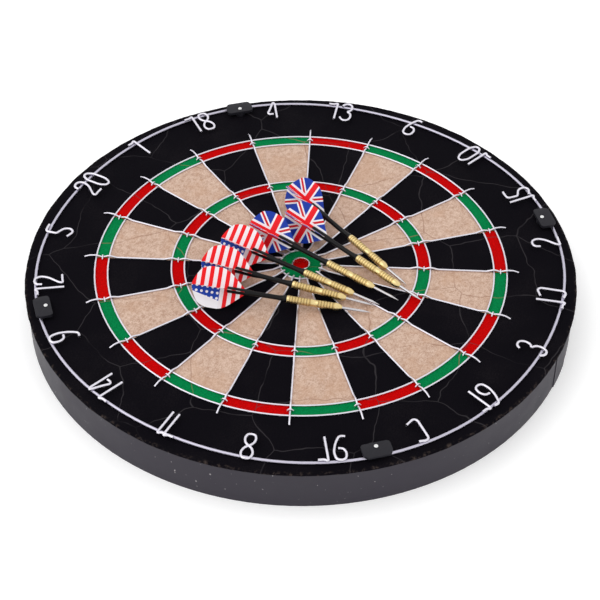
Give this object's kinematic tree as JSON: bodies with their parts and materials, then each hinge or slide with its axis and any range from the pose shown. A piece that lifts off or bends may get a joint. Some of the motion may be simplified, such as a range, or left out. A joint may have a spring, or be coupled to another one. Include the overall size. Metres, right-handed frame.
{
  "type": "dartboard",
  "caption": "Round pressed-sisal dartboard with a wire spider, a turning number ring held by plastic clips, and a set of steel-tip darts resting on the face.",
  "frame": {"origin": "centre of the back face, where the board rests or meets the wall", "axes": "+Z out of the playing face, +Y towards the 20 bed, +X towards the 6 bed"},
  "size_m": [0.4551, 0.4552, 0.0652],
  "materials": {
    "fibre_board": "matt, pressed fibre",
    "sisal": "matt dyed fibre, cream, red, green and black",
    "band_steel": "satin dark grey",
    "spider_wire": "galvanised wire",
    "ring_wire": "galvanised wire",
    "collar_steel": "polished steel",
    "pin_steel": "bright steel",
    "clip_plastic": "moulded",
    "point_steel": "ground steel",
    "brass": "turned and knurled",
    "nylon": "moulded",
    "flight_cross": "printed film, blue with red and white crosses",
    "flight_stripe": "printed film, red and white stripes with a blue canton"
  },
  "bodies": {
    "board": {"back_board": "fibre_board", "sisal_disc": "sisal", "outer_band": "band_steel", "double_wires": "spider_wire", "treble_wires": "spider_wire", "outer_bull_wire": "spider_wire", "bull_collar": "collar_steel", "radial_wires": "spider_wire", "staples": "spider_wire", "clip_pins": "pin_steel"},
    "number_ring_set": {"number_ring": "ring_wire", "number_20": "ring_wire", "number_1": "ring_wire", "number_18": "ring_wire", "number_4": "ring_wire", "number_13": "ring_wire", "number_6": "ring_wire", "number_10": "ring_wire", "number_15": "ring_wire", "number_2": "ring_wire", "number_17": "ring_wire", "number_3": "ring_wire", "number_19": "ring_wire", "number_7": "ring_wire", "number_16": "ring_wire", "number_8": "ring_wire", "number_11": "ring_wire", "number_14": "ring_wire", "number_9": "ring_wire", "number_12": "ring_wire", "number_5": "ring_wire"},
    "clip_1_body": {"clip_1": "clip_plastic"},
    "clip_2_body": {"clip_2": "clip_plastic"},
    "clip_3_body": {"clip_3": "clip_plastic"},
    "clip_4_body": {"clip_4": "clip_plastic"},
    "dart_1": {"dart_1_point": "point_steel", "dart_1_barrel": "brass", "dart_1_shaft": "nylon", "dart_1_flight": "flight_cross"},
    "dart_2": {"dart_2_point": "point_steel", "dart_2_barrel": "brass", "dart_2_shaft": "nylon", "dart_2_flight": "flight_cross"},
    "dart_3": {"dart_3_point": "point_steel", "dart_3_barrel": "brass", "dart_3_shaft": "nylon", "dart_3_flight": "flight_cross"},
    "dart_4": {"dart_4_point": "point_steel", "dart_4_barrel": "brass", "dart_4_shaft": "nylon", "dart_4_flight": "flight_stripe"},
    "dart_5": {"dart_5_point": "point_steel", "dart_5_barrel": "brass", "dart_5_shaft": "nylon", "dart_5_flight": "flight_stripe"},
    "dart_6": {"dart_6_point": "point_steel", "dart_6_barrel": "brass", "dart_6_shaft": "nylon", "dart_6_flight": "flight_stripe"}
  },
  "joints": [
    {"name": "number_ring_turn", "type": "hinge", "parent": "board", "child": "number_ring_set", "pos_m": [0, 0, 0.0394], "axis": [0, 0, 1], "range_deg": [-1, 1]},
    {"name": "clip_1_turn", "type": "hinge", "parent": "board", "child": "clip_1_body", "pos_m": [0.14991, 0.14991, 0.04], "axis": [0, 0, 1], "range_deg": [0, 180]},
    {"name": "clip_2_turn", "type": "hinge", "parent": "board", "child": "clip_2_body", "pos_m": [0.14991, -0.14991, 0.04], "axis": [0, 0, 1], "range_deg": [0, 180]},
    {"name": "clip_3_turn", "type": "hinge", "parent": "board", "child": "clip_3_body", "pos_m": [-0.14991, -0.14991, 0.04], "axis": [0, 0, 1], "range_deg": [0, 180]},
    {"name": "clip_4_turn", "type": "hinge", "parent": "board", "child": "clip_4_body", "pos_m": [-0.14991, 0.14991, 0.04], "axis": [0, 0, 1], "range_deg": [0, 180]},
    {"name": "dart_1_lift", "type": "slide", "parent": "board", "child": "dart_1", "axis": [0, 0, 1], "range_m": [0, 0.12]},
    {"name": "dart_2_lift", "type": "slide", "parent": "board", "child": "dart_2", "axis": [0, 0, 1], "range_m": [0, 0.12]},
    {"name": "dart_3_lift", "type": "slide", "parent": "board", "child": "dart_3", "axis": [0, 0, 1], "range_m": [0, 0.12]},
    {"name": "dart_4_lift", "type": "slide", "parent": "board", "child": "dart_4", "axis": [0, 0, 1], "range_m": [0, 0.12]},
    {"name": "dart_5_lift", "type": "slide", "parent": "board", "child": "dart_5", "axis": [0, 0, 1], "range_m": [0, 0.12]},
    {"name": "dart_6_lift", "type": "slide", "parent": "board", "child": "dart_6", "axis": [0, 0, 1], "range_m": [0, 0.12]}
  ]
}
